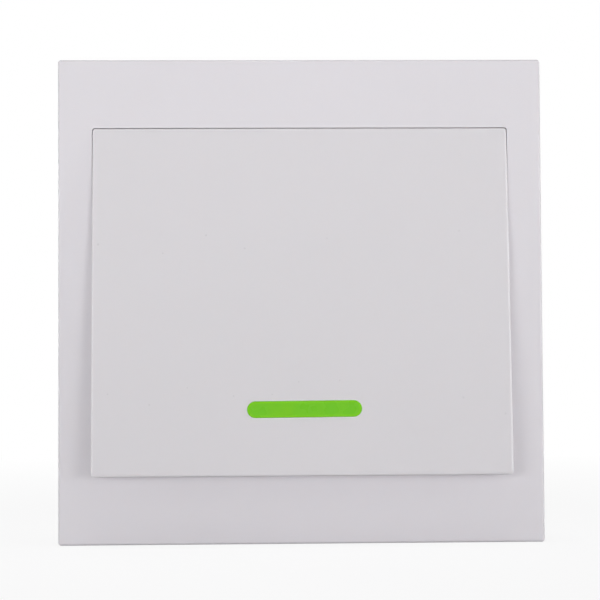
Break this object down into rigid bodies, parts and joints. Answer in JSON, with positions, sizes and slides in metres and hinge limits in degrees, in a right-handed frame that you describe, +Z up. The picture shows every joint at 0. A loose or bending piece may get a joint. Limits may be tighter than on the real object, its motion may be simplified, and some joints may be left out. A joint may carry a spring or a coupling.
{
  "type": "wireless remote wall switch",
  "caption": "Square wall-mounted wireless switch with a large hinged push key, a green indicator window, and a slotted back for wall screws.",
  "frame": {"origin": "centre of the wall face, the flat back of the wall base", "axes": "+Z up the wall, +X to the right as seen from the front, -Y out of the wall towards the user"},
  "size_m": [0.086, 0.018, 0.086],
  "materials": {
    "white_housing": "white moulded plastic, satin",
    "white_key": "white moulded plastic, satin",
    "base_plastic": "white moulded plastic, fine texture",
    "foam_tape": "closed cell foam tape",
    "chassis_plastic": "pale grey moulded plastic",
    "zinc_screw": "zinc plated",
    "green_lens": "translucent green, smooth",
    "spring_steel": "drawn wire",
    "board_laminate": "green solder mask",
    "solder": "bright solder",
    "black_plastic": "black moulded",
    "tinned_sheet": "tinned sheet",
    "lamp_resin": "diffused resin",
    "plated_can": "nickel plated",
    "copper_wire": "enamelled copper",
    "chip_resin": "moulded resin",
    "resistor_ceramic": "glazed film",
    "capacitor_ceramic": "fired ceramic",
    "tantalum_resin": "moulded resin",
    "battery_wrap": "plain shrink sleeve",
    "contact_nickel": "nickel plated spring sheet"
  },
  "bodies": {
    "housing": {"front_frame": "white_housing", "wall_base": "base_plastic", "foam_pads": "foam_tape", "carrier": "chassis_plastic", "carrier_screws": "zinc_screw", "return_spring_left": "spring_steel", "return_spring_right": "spring_steel", "circuit_board": "board_laminate", "board_screws": "zinc_screw", "solder_joints": "solder", "tact_body": "black_plastic", "tact_cover": "tinned_sheet", "tact_dome": "spring_steel", "tact_terminals": "tinned_sheet", "lamp_body": "lamp_resin", "lamp_leads": "tinned_sheet", "resonator_can": "plated_can", "resonator_pins": "tinned_sheet", "antenna": "copper_wire", "tank_coil": "copper_wire", "encoder_chip": "chip_resin", "encoder_leads": "tinned_sheet", "radio_transistor": "chip_resin", "transistor_leads": "tinned_sheet", "chip_resistors": "resistor_ceramic", "resistor_ends": "solder", "chip_capacitors": "capacitor_ceramic", "capacitor_ends": "solder", "supply_capacitor": "tantalum_resin", "supply_capacitor_ends": "solder", "supply_diode": "chip_resin", "diode_ends": "solder", "battery_can": "plated_can", "battery_sleeve": "battery_wrap", "battery_cap": "plated_can", "positive_contact": "contact_nickel", "negative_contact": "contact_nickel", "contact_spring": "contact_nickel"},
    "key": {"key": "white_key", "indicator_lens": "green_lens"},
    "plunger": {"tact_plunger": "black_plastic"}
  },
  "joints": [
    {"name": "key_press", "type": "hinge", "parent": "housing", "child": "key", "pos_m": [0, -0.008, 0.02625], "axis": [1, 0, 0], "range_deg": [0, 2], "stiffness_Nm_per_rad": 0.25, "springref_deg": -11.46, "deforming": ["return_spring_left", "return_spring_right"]},
    {"name": "plunger_slide", "type": "slide", "parent": "housing", "child": "plunger", "axis": [0, 1, 0], "range_m": [0, 0.00025], "deforming": ["tact_dome"]}
  ],
  "couplings": [
    {"joint": "plunger_slide", "follows": "key_press", "m_per_rad": 0.007}
  ]
}
